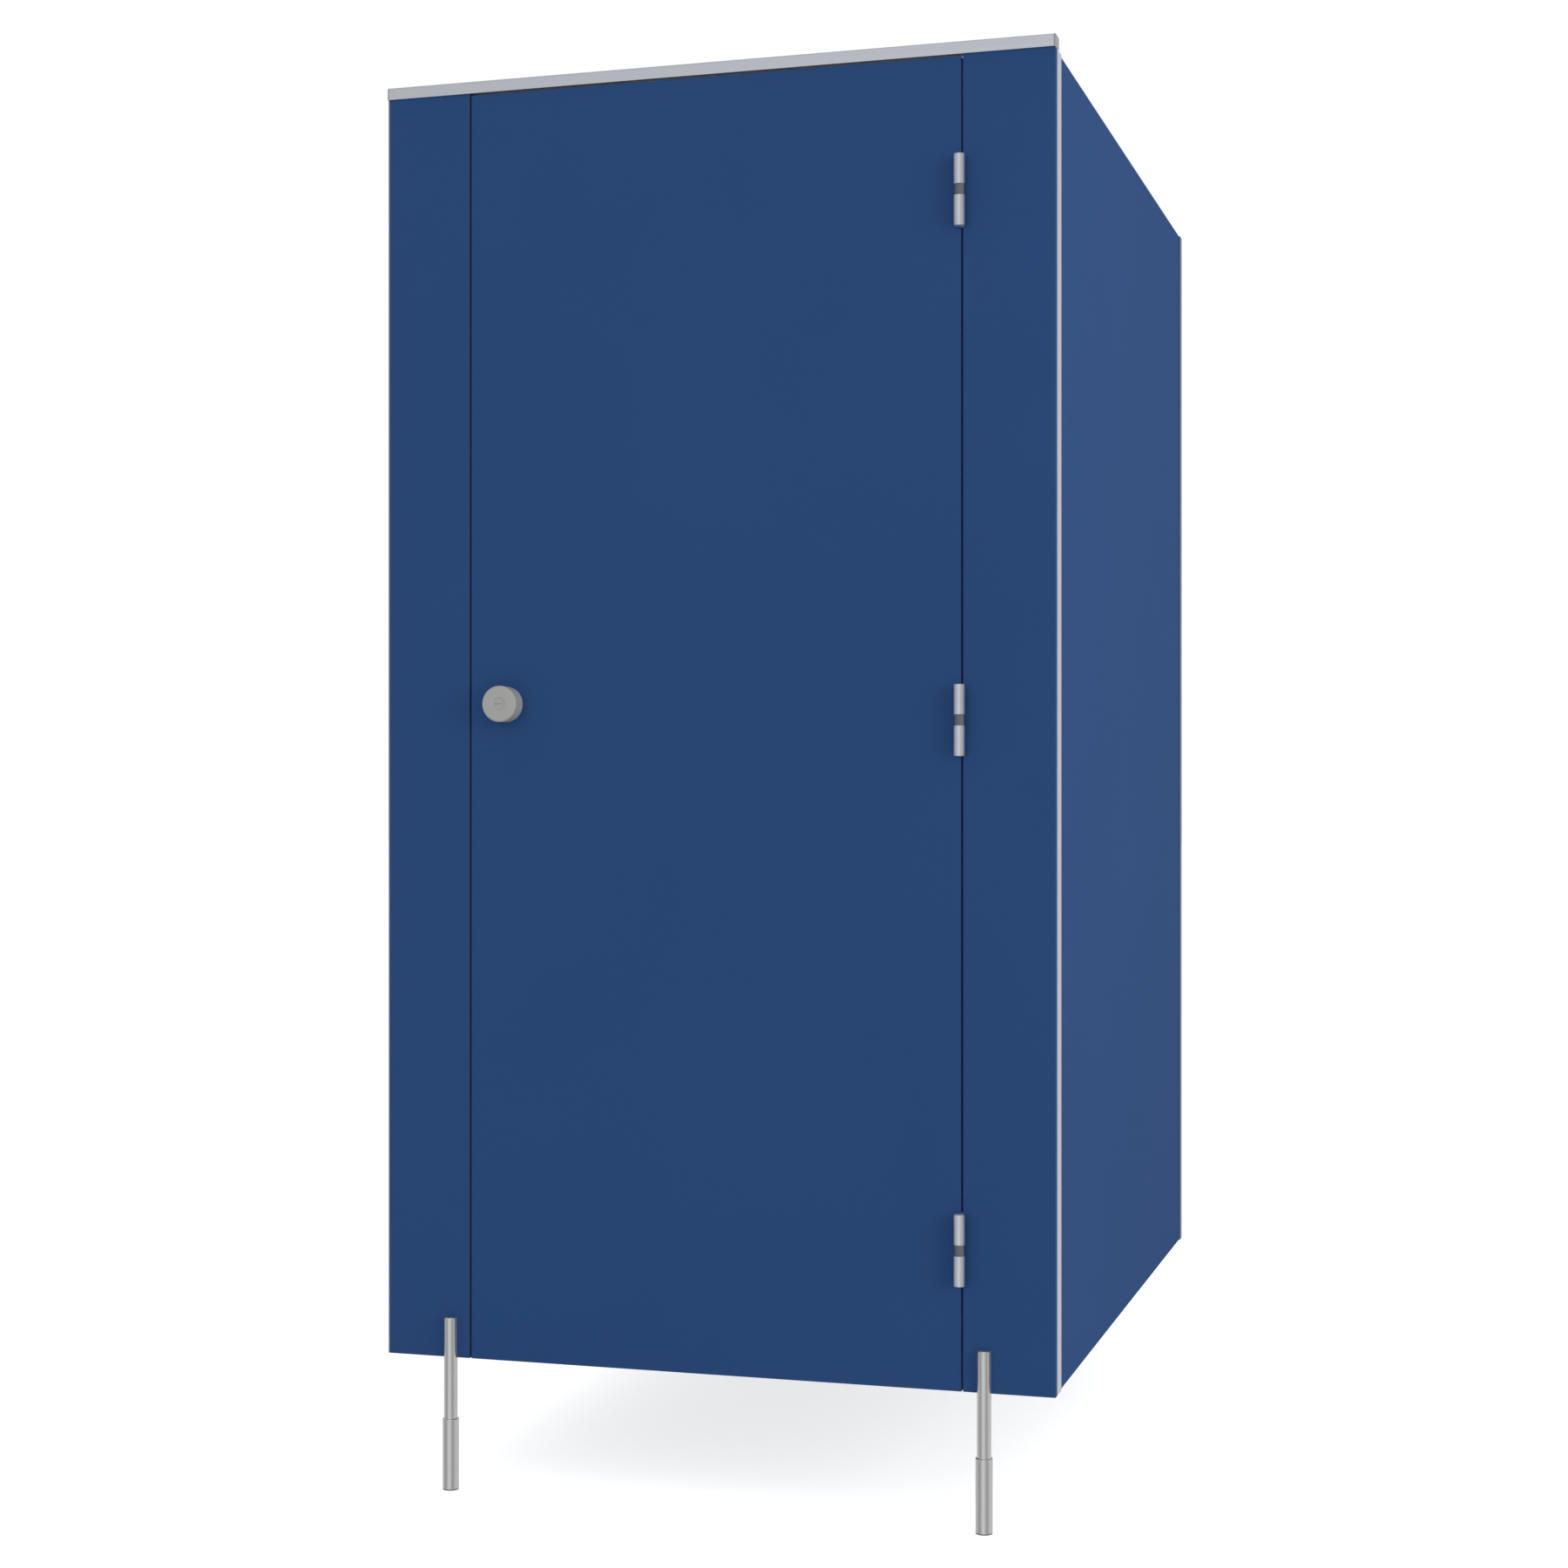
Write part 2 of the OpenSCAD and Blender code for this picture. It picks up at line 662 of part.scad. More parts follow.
module coin_release() color(stainless) difference() {
    at(lock_x, -pull_depth + release_sink, lock_z) to_back()
        cylinder(d = release_d, h = release_t);
    at(lock_x - coin_slot_l / 2, -pull_depth + release_sink - cut, lock_z - coin_slot_w / 2)
        cube([coin_slot_l, coin_slot_depth + cut, coin_slot_w]);
    at(lock_x, release_back_y - release_socket, lock_z) to_back()
        square_bar(square_w + 2 * thread_play, release_socket + cut);
}

module lock_spindle() color(stainless) {
    at(lock_x, release_back_y, lock_z) to_back()
        cylinder(d = spindle_d, h = latch_y - release_back_y);
    at(lock_x, release_back_y - release_socket + thread_play, lock_z) to_back()
        square_bar(square_w, latch_y + latch_t + turn_socket - release_back_y
                   + release_socket - 2 * thread_play);
}

// Drawn upright, which is the open position; a quarter turn lays it over the keep
module latch_arm() color(stainless) at(lock_x, latch_y, lock_z) plate(latch_t) difference() {
    union() {
        circle(d = turn_d);
        translate([-latch_w / 2, 0]) square([latch_w, latch_l - latch_w / 2]);
        translate([0, latch_l - latch_w / 2]) circle(d = latch_w);
    }
    square(square_w + 2 * thread_play, center = true);
}

module thumbturn() color(nylon_grey) at(lock_x, turn_y, lock_z) difference() {
    grip_r = turn_t / 2;
    union() {
        to_back() cylinder(d = turn_d, h = turn_foot_t);
        intersection() {
            plate(turn_h) union() {
                translate([-grip_r, -turn_l / 2 + grip_r]) square([turn_t, turn_l - turn_t]);
                for (side = [-1, 1]) translate([0, side * (turn_l / 2 - grip_r)]) circle(grip_r);
            }
            translate([-turn_t, turn_h - turn_l, 0]) to_right() cylinder(r = turn_l, h = 2 * turn_t);
        }
    }
    translate([0, -cut, 0]) to_back()
        square_bar(square_w + 2 * thread_play, turn_socket + cut);
    translate([0, turn_foot_t / 2, 0]) to_right()
        cylinder(d = grub_d + 2 * thread_play, h = turn_d);
}

// Sits below the surface of the thumbturn's foot and presses on the spindle
module thumbturn_grub() color(stainless)
    at(lock_x + grub_tip, turn_y + turn_foot_t / 2, lock_z) to_right()
        cylinder(d = grub_d, h = turn_d / 2 - 1 - grub_tip);

// Keep on the back of the left pilaster, with a nose behind the edge of the door

module keep_screw_places() {
    for (side = [-1, 1])
        at(keep_x - keep_screw_off, panel_t, lock_z + side * keep_screw_up) to_back() children();
}

module lock_keep() color(stainless) difference() {
    union() {
        at(keep_x, 0, lock_z - keep_h / 2) linear_extrude(keep_h) polygon([
            [-keep_w, panel_t],
            [-keep_step, panel_t],
            [-keep_step, nose_y],
            [nose_end, nose_y],
            [nose_end, panel_t + backplate_t],
            [-keep_w + edge_bevel, panel_t + backplate_t],
            [-keep_w, panel_t + backplate_t - edge_bevel],
        ]);
        at(keep_x - keep_w + ledge_end, panel_t + backplate_t, ledge_z)
            cube([keep_w - 2 * ledge_end, ledge_reach, ledge_t]);
    }
    keep_screw_places() translate([0, 0, backplate_t]) {
        through_hole(screw_d, backplate_t);
        translate([0, 0, -head_h - hole_play])
            cylinder(d = head_d + 2 * hole_play, h = head_h + hole_play + cut + ledge_reach);
    }
}

module keep_buffer() color(rubber_black)
    at(keep_x + door_gap + cut, nose_y - buffer_t, lock_z - keep_h / 2 + 2 * cut)
        cube([keep_nose - 2 * cut, buffer_t, keep_h - 4 * cut]);

module keep_screws() color(stainless) keep_screw_places()
    translate([0, 0, backplate_t - head_h - hole_play])
        panel_screw(backplate_t - head_h - hole_play);

// Legs

// Round bar; its upper end is halved, lies on the pilaster and carries its lower edge
module right_leg_bar() color(anodised) difference() {
    at(leg_x, 0, bar_end) turned(leg_d, panel_z0 + leg_cover - bar_end, bar_bevel, bar_bevel);
    at(leg_x - leg_d, 0, panel_z0) cube([2 * leg_d, leg_d, leg_cover + cut]);
    for (z = leg_bolt_z) at(leg_x, -leg_bolt_in - face_play, z) to_back()
        cylinder(d = bolt_d + 2 * thread_play, h = leg_d);
}

module left_leg_bar() mirrored() right_leg_bar();

module leg_bolts() color(stainless) for (s = [0, 1]) mirror([s, 0, 0])
    for (z = leg_bolt_z) at(leg_x, panel_t, z) to_back()
        dome_screw(bolt_d, panel_t + leg_bolt_in, 2 * bolt_d, bolt_d / 2);

module right_leg_sleeve() color(anodised) difference() {
    at(leg_x, 0, rim_t) turned(sleeve_d, sleeve_top - rim_t, foot_step, sleeve_bevel);
    at(leg_x, 0, 0) cylinder(d = sleeve_bore_d, h = sleeve_top + cut);
    at(leg_x, 0, sleeve_top - leg_grub_down) to_back()
        cylinder(d = leg_grub_d + 2 * thread_play, h = sleeve_d);
}

module left_leg_sleeve() mirrored() right_leg_sleeve();

// Plug with a rim on the floor and a countersunk hole for the floor fixing
module right_leg_foot() color(nylon_grey) difference() {
    at(leg_x, 0, 0) union() {
        cylinder(d = sleeve_d - 2 * foot_step, h = rim_t);
        cylinder(d = leg_d, h = rim_t + plug_h);
    }
    at(leg_x, 0, -cut) cylinder(d = floor_hole_d, h = rim_t + plug_h + 2 * cut);
    at(leg_x, 0, rim_t + plug_h - floor_sink_h)
        cylinder(d1 = floor_hole_d, d2 = floor_sink_d, h = floor_sink_h);
}

module left_leg_foot() mirrored() right_leg_foot();

module right_leg_grub() color(stainless)
    at(leg_x, leg_d / 2 + face_play, sleeve_top - leg_grub_down) to_back() difference() {
        cylinder(d = leg_grub_d, h = sleeve_d / 2 + leg_grub_out - leg_d / 2 - face_play);
        translate([0, 0, sleeve_wall]) cylinder(d = leg_grub_d / 2, h = sleeve_d, $fn = 6);
    }

module left_leg_grub() mirrored() right_leg_grub();

// Bench between the partitions

module bench_board() color(panel_blue) difference() {
    at(-bench_x, bench_y0, bench_under) bar(2 * bench_x) {
        translate([bench_nose_r, 0]) square([bench_d - bench_nose_r, panel_t]);
        translate([0, bench_nose_r]) square([bench_nose_r, panel_t - 2 * bench_nose_r]);
        for (z = [bench_nose_r, panel_t - bench_nose_r])
            translate([bench_nose_r, z]) circle(bench_nose_r);
    }
    for (s = [0, 1]) mirror([s, 0, 0])
        side_board_places() translate([0, 0, -angle_t]) screw_hole();
    front_board_places() translate([0, 0, -angle_t]) screw_hole();
}

// Angle section: x inwards from the face it lies on, y downwards from the bench is negative
module angle_outline() {
    translate([0, -angle_w]) square([angle_t, angle_w]);
    translate([0, -angle_t]) square([angle_w, angle_t]);
}

module right_bench_angle() color(anodised) difference() {
    at(partition_x, angle_y0, bench_under) mirrored()
        rotate([90, 0, 0]) mirror([0, 0, 1]) linear_extrude(angle_y1 - angle_y0) angle_outline();
    side_wall_places() through_hole(screw_d, angle_t);
    side_board_places() through_hole(screw_d, angle_t);
}

module left_bench_angle() mirrored() right_bench_angle();

module bench_front_angle() color(anodised) difference() {
    at(-front_angle_x, bench_y0 + angle_back, bench_under) bar(2 * front_angle_x) angle_outline();
    front_board_places() through_hole(screw_d, angle_t);
}

// Screw places on the right-hand angle, on the leg that lies on the partition
module side_wall_places() {
    for (y = side_angle_screw_y)
        at(partition_x - angle_t, y, angle_screw_z) to_left() children();
}

// Screw places under the board, on the right-hand angle and on the front one
module side_board_places() {
    for (y = side_angle_screw_y)
        at(side_angle_screw_x, y, bench_under - angle_t) to_floor() children();
}

module front_board_places() {
    for (x = front_angle_screw_x)
        at(x, front_angle_screw_y, bench_under - angle_t) to_floor() children();
}

module bench_screws() color(stainless) {
    for (s = [0, 1]) mirror([s, 0, 0]) {
        side_wall_places() panel_screw(angle_t);
        side_board_places() panel_screw(angle_t);
    }
    front_board_places() panel_screw(angle_t);
}

// Coat hook on the inside of the door

module hook_screw_places(y) {
    for (side = [-1, 1]) at(0, y, hook_z + side * hook_screw_off) to_back() children();
}

module coat_hook() color(stainless) difference() {
    at(0, panel_t, hook_z) {
        plate(hook_plate_t) rounded_plate(hook_plate_w, hook_plate_h, leaf_round);
        translate([0, 0, hook_rod_z]) {
            to_back() cylinder(d = hook_rod_d, h = hook_plate_t + hook_out);
            translate([0, hook_plate_t + hook_out, hook_bend]) rotate([90, 0, 90])
                rotate([0, 0, -90]) rotate_extrude(angle = 90)
                    translate([hook_bend, 0]) circle(d = hook_rod_d);
            translate([0, hook_plate_t + hook_out + hook_bend, hook_bend]) {
                cylinder(d = hook_rod_d, h = hook_tip);
                translate([0, 0, hook_tip]) sphere(d = hook_ball_d);
            }
        }
    }
    hook_screw_places(panel_t + hook_plate_t) through_hole(screw_d, hook_plate_t);
}

module rounded_plate(w, h, r) {
    square([w - 2 * r, h], center = true);
    square([w, h - 2 * r], center = true);
    for (x = [-1, 1], y = [-1, 1]) translate([x * (w / 2 - r), y * (h / 2 - r)]) circle(r);
}

module hook_screws() color(stainless)
    hook_screw_places(panel_t + hook_plate_t) panel_screw(hook_plate_t);

left_pilaster();
right_pilaster();
left_edge_trim();
headrail();
left_rail_cap();
right_rail_cap();
rail_screws();
left_front_channel();
right_front_channel();
front_channel_screws();
left_partition();
right_partition();
left_wall_channel();
right_wall_channel();
partition_screws();
door_leaf();
top_hinge_frame_half();
top_hinge_door_half();
top_hinge_bush();
top_hinge_pin();
middle_hinge_frame_half();
middle_hinge_door_half();
middle_hinge_bush();
middle_hinge_pin();
bottom_hinge_frame_half();
bottom_hinge_door_half();
bottom_hinge_bush();
bottom_hinge_pin();
hinge_frame_screws();
hinge_door_screws();
lock_pull();
lock_backplate();
lock_screws();
coin_release();
lock_spindle();
latch_arm();
thumbturn();
thumbturn_grub();
lock_keep();
keep_buffer();
keep_screws();
left_leg_bar();
left_leg_sleeve();
left_leg_foot();
left_leg_grub();
right_leg_bar();
right_leg_sleeve();
right_leg_foot();
right_leg_grub();
leg_bolts();
coat_hook();
hook_screws();
bench_board();
bench_front_angle();
left_bench_angle();
right_bench_angle();
bench_screws();
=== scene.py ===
"""Changing cubicle of compact laminate panels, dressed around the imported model.

Metres, +Z up, the front faces -Y. The sections follow the cubicle as it is put together.
"""
import math

import bpy
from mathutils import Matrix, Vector


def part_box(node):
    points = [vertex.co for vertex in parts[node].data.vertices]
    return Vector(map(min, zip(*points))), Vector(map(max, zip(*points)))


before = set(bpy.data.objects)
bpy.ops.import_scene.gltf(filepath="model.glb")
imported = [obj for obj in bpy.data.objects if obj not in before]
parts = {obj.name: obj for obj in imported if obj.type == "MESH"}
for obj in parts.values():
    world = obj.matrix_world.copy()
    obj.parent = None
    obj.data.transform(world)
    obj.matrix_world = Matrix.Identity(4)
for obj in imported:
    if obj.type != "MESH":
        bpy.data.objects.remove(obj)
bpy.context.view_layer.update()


# The camera of the photograph: eye height about 1.04 m, level, to the right of the
# front and turned left, with a 59 mm lens on a 36 mm square frame.
FRONT_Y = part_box("door_leaf")[0].y
CAMERA_SIDE = 1.137
CAMERA_DISTANCE = 3.492
CAMERA_HEIGHT = 1.0375
CAMERA_TURN = 16.37
LENS = 59.0
SENSOR = 36.0
CLIP_NEAR = 0.05
CLIP_FAR = 200.0

camera_data = bpy.data.cameras.new("camera")
camera_data.lens = LENS
camera_data.sensor_width = SENSOR
camera_data.clip_start = CLIP_NEAR
camera_data.clip_end = CLIP_FAR
camera = bpy.data.objects.new("camera", camera_data)
camera.location = (CAMERA_SIDE, FRONT_Y - CAMERA_DISTANCE, CAMERA_HEIGHT)
camera.rotation_euler = (math.radians(90), 0, math.radians(CAMERA_TURN))
bpy.context.scene.collection.objects.link(camera)
bpy.context.scene.camera = camera


# The studio: a seamless pale floor and a white room that light the cubicle evenly. A large
# soft lamp stands on the right and a weaker one in front. Metal doesn't mirror the lamps, but a
# bright screen in front, one on either side and the white backdrop, with dim gaps between.
def linear(code):
    """An sRGB hex colour such as "2B4671" as linear red, green, blue and alpha."""
    channels = [int(code[i : i + 2], 16) / 255 for i in (0, 2, 4)]
    return (*[c / 12.92 if c <= 0.04045 else ((c + 0.055) / 1.055) ** 2.4 for c in channels], 1.0)


def add(tree, kind, inputs=None, **settings):
    """Adds a node, sets its settings, and fills its sockets with values or links."""
    node = tree.nodes.new(kind)
    for name, value in settings.items():
        setattr(node, name, value)
    for socket, value in (inputs or {}).items():
        if isinstance(value, bpy.types.NodeSocket):
            tree.links.new(value, node.inputs[socket])
        else:
            node.inputs[socket].default_value = value
    return node


WHITE = "FFFFFF"
FLOOR_PALE = "EDEDED"
ROOM_LIGHT = 0.80
SCREEN_MIRRORED = 0.94
BACKDROP_MIRRORED = 0.76
GAP_MIRRORED = 0.40
SCREEN_TURN = 105.0
FLOOR_LIFT = 0.58
FLOOR_HALF = 40.0


def studio(tree, way):
    """Brightness of the mirrored studio in a direction, by its turn from the front."""
    way = add(tree, "ShaderNodeSeparateXYZ", {"Vector": way})
    aside = add(tree, "ShaderNodeMath", {0: way.outputs["X"]}, operation="ABSOLUTE")
    ahead = add(tree, "ShaderNodeMath", {0: way.outputs["Y"], 1: -1.0}, operation="MULTIPLY")
    turn = add(tree, "ShaderNodeMath", {0: aside.outputs[0], 1: ahead.outputs[0]},
               operation="ARCTAN2")
    turn = add(tree, "ShaderNodeMath", {0: turn.outputs[0], 1: math.radians(SCREEN_TURN)},
               operation="MINIMUM")
    turn = add(tree, "ShaderNodeMath", {0: turn.outputs[0], 1: 360 / SCREEN_TURN},
               operation="MULTIPLY")
    screen = add(tree, "ShaderNodeMapRange", {"Value": turn.outputs[0],
                                              "From Max": math.radians(360),
                                              "To Min": SCREEN_MIRRORED,
                                              "To Max": BACKDROP_MIRRORED})
    wave = add(tree, "ShaderNodeMath", {0: turn.outputs[0]}, operation="COSINE")
    return add(tree, "ShaderNodeMapRange", {"Value": wave.outputs[0], "From Min": -1.0,
                                            "From Max": 1.0, "To Min": GAP_MIRRORED,
                                            "To Max": screen.outputs[0]}).outputs[0]


scene = bpy.context.scene
scene.view_settings.view_transform = "Standard"
world = bpy.data.worlds.new("white_room")
world.use_nodes = True
tree = world.node_tree
tree.nodes.clear()
path = add(tree, "ShaderNodeLightPath")
way = add(tree, "ShaderNodeTexCoord")
strength = add(tree, "ShaderNodeMix", {0: path.outputs["Is Glossy Ray"], 2: ROOM_LIGHT,
                                       3: studio(tree, way.outputs["Generated"])})
strength = add(tree, "ShaderNodeMix", {0: path.outputs["Is Camera Ray"],
                                       2: strength.outputs[0], 3: 1.0})
glow = add(tree, "ShaderNodeBackground", {"Color": linear(WHITE),
                                          "Strength": strength.outputs[0]})
add(tree, "ShaderNodeOutputWorld", {"Surface": glow.outputs[0]})
scene.world = world

floor_mesh = bpy.data.meshes.new("floor")
floor_mesh.from_pydata(
    [(x, y, 0) for x, y in ((-FLOOR_HALF, -FLOOR_HALF), (FLOOR_HALF, -FLOOR_HALF),
                            (FLOOR_HALF, FLOOR_HALF), (-FLOOR_HALF, FLOOR_HALF))],
    [], [(0, 1, 2, 3)])
floor = bpy.data.objects.new("floor", floor_mesh)
scene.collection.objects.link(floor)
paint = bpy.data.materials.new("pale_floor")
paint.use_nodes = True
tree = paint.node_tree
tree.nodes.clear()
path = add(tree, "ShaderNodeLightPath")
matt = add(tree, "ShaderNodeBsdfDiffuse", {"Color": linear(FLOOR_PALE)})
lift = add(tree, "ShaderNodeMath", {0: path.outputs["Is Camera Ray"], 1: FLOOR_LIFT},
           operation="MULTIPLY")
glow = add(tree, "ShaderNodeEmission", {"Color": linear(WHITE), "Strength": lift.outputs[0]})
both = add(tree, "ShaderNodeAddShader", {0: matt.outputs[0], 1: glow.outputs[0]})
# What metal mirrors below the horizon is the same room, so those rays pass the floor.
clear = add(tree, "ShaderNodeBsdfTransparent")
seen = add(tree, "ShaderNodeMixShader", {0: path.outputs["Is Glossy Ray"], 1: both.outputs[0],
                                         2: clear.outputs[0]})
add(tree, "ShaderNodeOutputMaterial", {"Surface": seen.outputs[0]})
floor_mesh.materials.append(paint)

LAMPS = {
    "lamp_right": ((7.5, -2.4, 1.8), 6.0, 360.0),
    "lamp_front": ((-1.0, -8.0, 2.2), 5.0, 75.0),
}
LAMP_AIM = Vector((0.0, 0.0, 1.1))
for name, (place, size, watts) in LAMPS.items():
    lamp_data = bpy.data.lights.new(name, "AREA")
    lamp_data.shape = "SQUARE"
    lamp_data.size = size
    lamp_data.energy = watts
    lamp = bpy.data.objects.new(name, lamp_data)
    lamp.location = place
    lamp.visible_glossy = False
    lamp.rotation_euler = (LAMP_AIM - Vector(place)).to_track_quat("-Z", "Y").to_euler()
    scene.collection.objects.link(lamp)


# Pilasters, door, partitions and bench: 13 mm compact laminate, blue on both faces,
# cut and bevelled so that the dark pressed core shows on every edge. Drilled and screwed.
LAMINATE_BLUE = "294774"
LAMINATE_BLUE_DEEP = "264370"
LAMINATE_CORE = "2D4570"
LAMINATE_IOR = 1.5
LAMINATE_ROUGHNESS = 0.80
LAMINATE_SHINE = 0.04
LAMINATE_SPREAD = 0.05
DECOR_FACING = 0.9
STIPPLE = 0.0022
STIPPLE_DEPTH = 0.0001
STIPPLE_RELIEF = 0.25
CLOUD = 0.35


def laminate(name, flat_axis):
    """Matt laminate whose decor lies on the faces square to flat_axis, with the core elsewhere."""
    material = bpy.data.materials.new(name)
    material.use_nodes = True
    tree = material.node_tree
    tree.nodes.clear()
    place = add(tree, "ShaderNodeTexCoord")
    normal = add(tree, "ShaderNodeSeparateXYZ", {"Vector": place.outputs["Normal"]})
    facing = add(tree, "ShaderNodeMath", {0: normal.outputs[flat_axis]}, operation="ABSOLUTE")
    decor = add(tree, "ShaderNodeMath", {0: facing.outputs[0], 1: DECOR_FACING},
                operation="GREATER_THAN")
    cloud = add(tree, "ShaderNodeTexNoise", {"Vector": place.outputs["Object"],
                                             "Scale": 1 / CLOUD, "Detail": 3.0})
    blue = add(tree, "ShaderNodeMix", {0: cloud.outputs[0], 6: linear(LAMINATE_BLUE_DEEP),
                                       7: linear(LAMINATE_BLUE)}, data_type="RGBA")
    colour = add(tree, "ShaderNodeMix", {0: decor.outputs[0], 6: linear(LAMINATE_CORE),
                                         7: blue.outputs[2]}, data_type="RGBA")
    stipple = add(tree, "ShaderNodeTexNoise", {"Vector": place.outputs["Object"],
                                               "Scale": 1 / STIPPLE, "Detail": 2.0})
    sheen = add(tree, "ShaderNodeMapRange", {"Value": stipple.outputs[0],
                                             "To Min": LAMINATE_ROUGHNESS - LAMINATE_SPREAD,
                                             "To Max": LAMINATE_ROUGHNESS + LAMINATE_SPREAD})
    relief = add(tree, "ShaderNodeBump", {"Height": stipple.outputs[0],
                                          "Strength": STIPPLE_RELIEF,
                                          "Distance": STIPPLE_DEPTH})
    shader = add(tree, "ShaderNodeBsdfPrincipled", {
        "Base Color": colour.outputs[2], "Roughness": sheen.outputs[0], "IOR": LAMINATE_IOR,
        "Specular IOR Level": LAMINATE_SHINE, "Normal": relief.outputs[0]})
    add(tree, "ShaderNodeOutputMaterial", {"Surface": shader.outputs[0]})
    return material


def dress(material, *names):
    """Puts a material on CAD nodes, in place of the one that they came with."""
    for name in names:
        for slot in parts[name].material_slots:
            slot.link = "OBJECT"
            slot.material = material


dress(laminate("compact_laminate_front", "Y"), "left_pilaster", "right_pilaster", "door_leaf")
dress(laminate("compact_laminate_side", "X"), "left_partition", "right_partition")
dress(laminate("compact_laminate_bench", "Z"), "bench_board")


# Headrail, channels, edge strip and bench angles: extruded aluminium, satin anodised, with
# the fine drawing lines of the die along each length. Sawn to length and screwed on. The
# channels on the wall are the same aluminium in a darker grey, which is painted shade for
# their place by the wall. The strip on the left edge is given a darker, bluish grey.
ALUMINIUM = "D6DAE1"
# The wall channels' darker grey is painted shade, not a finish of their own.
ALUMINIUM_PAINTED_SHADE = "76849B"
ALUMINIUM_STRIP = "9399B2"
ANODISED_ROUGHNESS = 0.46
DIE_SPREAD = 0.06
DIE_LINE = 0.0006
DIE_RUN = 0.5
DIE_DEPTH = 0.0001
DIE_RELIEF = 0.12
LINES_FAINT = 0.3
LINES_STRONG = 0.7


def anodised(name, colour, along, roughness, metallic=1.0):
    """Anodised aluminium with die lines that run along the axis numbered along."""
    material = bpy.data.materials.new(name)
    material.use_nodes = True
    tree = material.node_tree
    tree.nodes.clear()
    place = add(tree, "ShaderNodeTexCoord")
    grain = [1 / DIE_LINE] * 3
    grain[along] = 1 / DIE_RUN
    drawn = add(tree, "ShaderNodeMapping", {"Vector": place.outputs["Object"],
                                            "Scale": grain})
    lines = add(tree, "ShaderNodeTexNoise", {"Vector": drawn.outputs[0], "Scale": 1.0,
                                             "Detail": 3.0})
    tone = add(tree, "ShaderNodeMapRange", {"Value": lines.outputs[0],
                                            "From Min": LINES_FAINT,
                                            "From Max": LINES_STRONG,
                                            "To Min": roughness - DIE_SPREAD,
                                            "To Max": roughness + DIE_SPREAD})
    relief = add(tree, "ShaderNodeBump", {"Height": lines.outputs[0],
                                          "Strength": DIE_RELIEF,
                                          "Distance": DIE_DEPTH})
    shader = add(tree, "ShaderNodeBsdfPrincipled", {
        "Base Color": linear(colour), "Metallic": metallic, "Roughness": tone.outputs[0],
        "Normal": relief.outputs[0]})
    add(tree, "ShaderNodeOutputMaterial", {"Surface": shader.outputs[0]})
    return material


across = anodised("anodised_aluminium_across", ALUMINIUM, 0, ANODISED_ROUGHNESS)
inwards = anodised("anodised_aluminium_inwards", ALUMINIUM, 1, ANODISED_ROUGHNESS)
upright = anodised("anodised_aluminium_upright", ALUMINIUM, 2, ANODISED_ROUGHNESS)
painted_shade_aluminium = anodised("aluminium_with_painted_shade", ALUMINIUM_PAINTED_SHADE, 2, ANODISED_ROUGHNESS)
strip = anodised("darker_bluish_aluminium_strip", ALUMINIUM_STRIP, 2, ANODISED_ROUGHNESS)
dress(across, "headrail", "bench_front_angle")
dress(inwards, "left_bench_angle", "right_bench_angle")
dress(upright, "left_front_channel", "right_front_channel")
# The wall channels get the darker copy of the aluminium: painted shade by the wall.
dress(painted_shade_aluminium, "left_wall_channel", "right_wall_channel")
# The strip on the left edge is given a darker, bluish grey than the other aluminium.
dress(strip, "left_edge_trim")


# End caps of the headrail: moulded grey polypropylene, pushed into the hollow chamber.
# A fine spark-eroded grain keeps them matt.
CAP_GREY = "84878C"
CAP_ROUGHNESS = 0.5
MOULD_IOR = 1.5
MOULD_SPREAD = 0.06
MOULD_GRAIN = 0.0008
MOULD_DEPTH = 0.0001
MOULD_RELIEF = 0.3


def moulded(name, colour, roughness):
    """Moulded plastic with a fine eroded grain."""
    material = bpy.data.materials.new(name)
    material.use_nodes = True
    tree = material.node_tree
    tree.nodes.clear()
    place = add(tree, "ShaderNodeTexCoord")
    grain = add(tree, "ShaderNodeTexNoise", {"Vector": place.outputs["Object"],
                                             "Scale": 1 / MOULD_GRAIN, "Detail": 2.0})
    tone = add(tree, "ShaderNodeMapRange", {"Value": grain.outputs[0],
                                            "To Min": roughness - MOULD_SPREAD,
                                            "To Max": roughness + MOULD_SPREAD})
    relief = add(tree, "ShaderNodeBump", {"Height": grain.outputs[0],
                                          "Strength": MOULD_RELIEF,
                                          "Distance": MOULD_DEPTH})
    shader = add(tree, "ShaderNodeBsdfPrincipled", {
        "Base Color": linear(colour), "Roughness": tone.outputs[0], "IOR": MOULD_IOR,
        "Normal": relief.outputs[0]})
    add(tree, "ShaderNodeOutputMaterial", {"Surface": shader.outputs[0]})
    return material


dress(moulded("grey_polypropylene", CAP_GREY, CAP_ROUGHNESS),
      "left_rail_cap", "right_rail_cap")


# Hinges: stainless steel barrels with folded plates, turned and satin polished along the
# barrel. The bush between the knuckles is grey nylon, and the pins are stainless bar.
STAINLESS = "E0E3EA"
STAINLESS_ROUGHNESS = 0.50
POLISH_SPREAD = 0.05
POLISH_LINE = 0.0005
POLISH_RUN = 0.02
POLISH_DEPTH = 0.0001
POLISH_RELIEF = 0.1
NYLON_GREY = "54585F"
NYLON_ROUGHNESS = 0.42
HINGES = ("top_hinge", "middle_hinge", "bottom_hinge")


